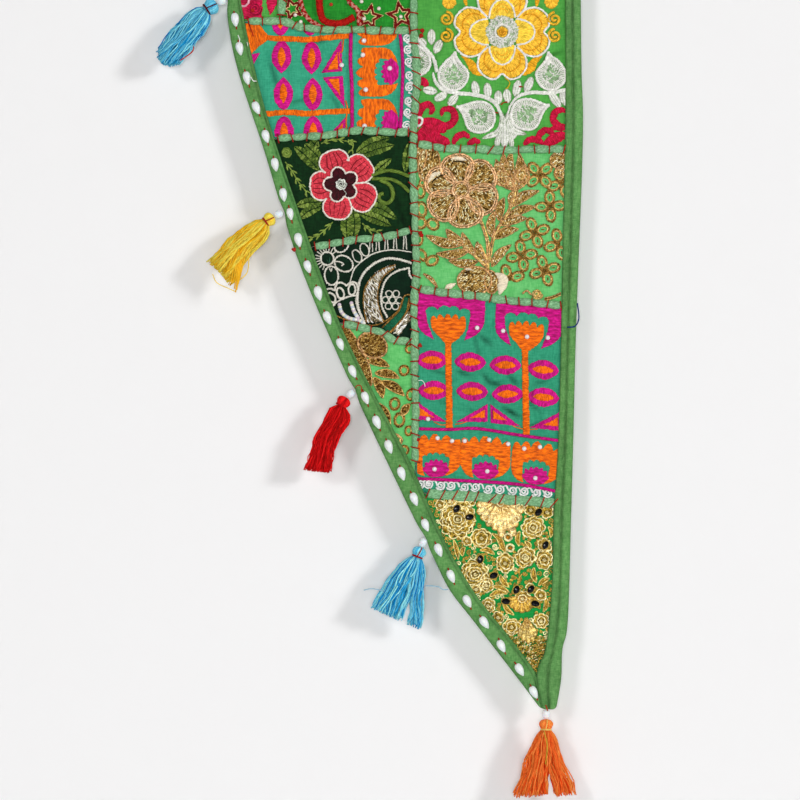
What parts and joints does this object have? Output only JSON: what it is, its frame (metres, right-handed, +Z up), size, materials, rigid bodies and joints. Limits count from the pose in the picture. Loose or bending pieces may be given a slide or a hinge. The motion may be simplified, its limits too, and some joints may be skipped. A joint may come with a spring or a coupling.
{
  "type": "patchwork toran",
  "caption": "Curved, tapering side drop of an embroidered patchwork door hanging, with couched joins, bound edges, sewn shells and hanging tassels.",
  "frame": {"origin": "middle of the straight top edge, in the mid-plane of the heading", "axes": "+Z up, from the tip to the top edge; the embroidered front faces -Y; +X runs from the curved, tasselled side to the straight side"},
  "size_m": [0.3629, 0.0161, 0.7161],
  "materials": {
    "binding_cotton": "woven green cotton, matt",
    "couching_cord": "soft grey-green cotton cord held by red cross stitches",
    "cloth_rose": "mid green cloth with crimson roses in thread",
    "cloth_star": "bright green cloth with red corded work and small beads",
    "cloth_lattice": "teal cloth with orange and magenta satin stitch",
    "cloth_anemone": "bottle green cloth with a coral flower and olive leaves",
    "cloth_paisley": "dark green cloth with white and silver cord work",
    "cloth_sprig": "light green satin with gold thread",
    "cloth_bloom": "mid green cloth with yellow, white and crimson thread",
    "cloth_zari": "light green satin with brown-gold metal thread",
    "cloth_tulip": "teal cloth with magenta and orange satin stitch",
    "cloth_rosette": "emerald cloth with pale gold corded roses and black stones",
    "shell": "smooth white cowrie-like shell",
    "bead": "milky translucent bead",
    "thread_sky": "sky blue cotton strands",
    "thread_yellow": "golden yellow cotton strands",
    "thread_red": "red cotton strands",
    "thread_orange": "orange cotton strands"
  },
  "bodies": {
    "root": {"bead_orange": "bead", "bead_red": "bead", "bead_sky_lower": "bead", "bead_sky_upper": "bead", "bead_yellow": "bead", "binding_curved": "binding_cotton", "binding_straight": "binding_cotton", "cord_anemone": "couching_cord", "cord_main": "couching_cord", "cord_paisley": "couching_cord", "cord_rosette": "couching_cord", "cord_short": "couching_cord", "cord_sprig": "couching_cord", "cord_star": "couching_cord", "cord_tulip": "couching_cord", "cord_zari": "couching_cord", "heading": "binding_cotton", "patch_anemone": "cloth_anemone", "patch_bloom": "cloth_bloom", "patch_lattice": "cloth_lattice", "patch_paisley": "cloth_paisley", "patch_rose": "cloth_rose", "patch_rosette": "cloth_rosette", "patch_sprig": "cloth_sprig", "patch_star": "cloth_star", "patch_tulip": "cloth_tulip", "patch_zari": "cloth_zari", "shell_01": "shell", "shell_02": "shell", "shell_03": "shell", "shell_04": "shell", "shell_05": "shell", "shell_06": "shell", "shell_07": "shell", "shell_08": "shell", "shell_09": "shell", "shell_10": "shell", "shell_11": "shell", "shell_12": "shell", "shell_13": "shell", "shell_14": "shell", "shell_15": "shell", "shell_16": "shell", "shell_17": "shell", "shell_18": "shell", "shell_19": "shell", "shell_20": "shell", "shell_21": "shell", "shell_22": "shell", "shell_23": "shell", "shell_24": "shell", "shell_25": "shell", "shell_26": "shell", "shell_27": "shell", "shell_28": "shell", "tassel_orange": "thread_orange", "tassel_red": "thread_red", "tassel_sky_lower": "thread_sky", "tassel_sky_upper": "thread_sky", "tassel_yellow": "thread_yellow"}
  },
  "joints": []
}
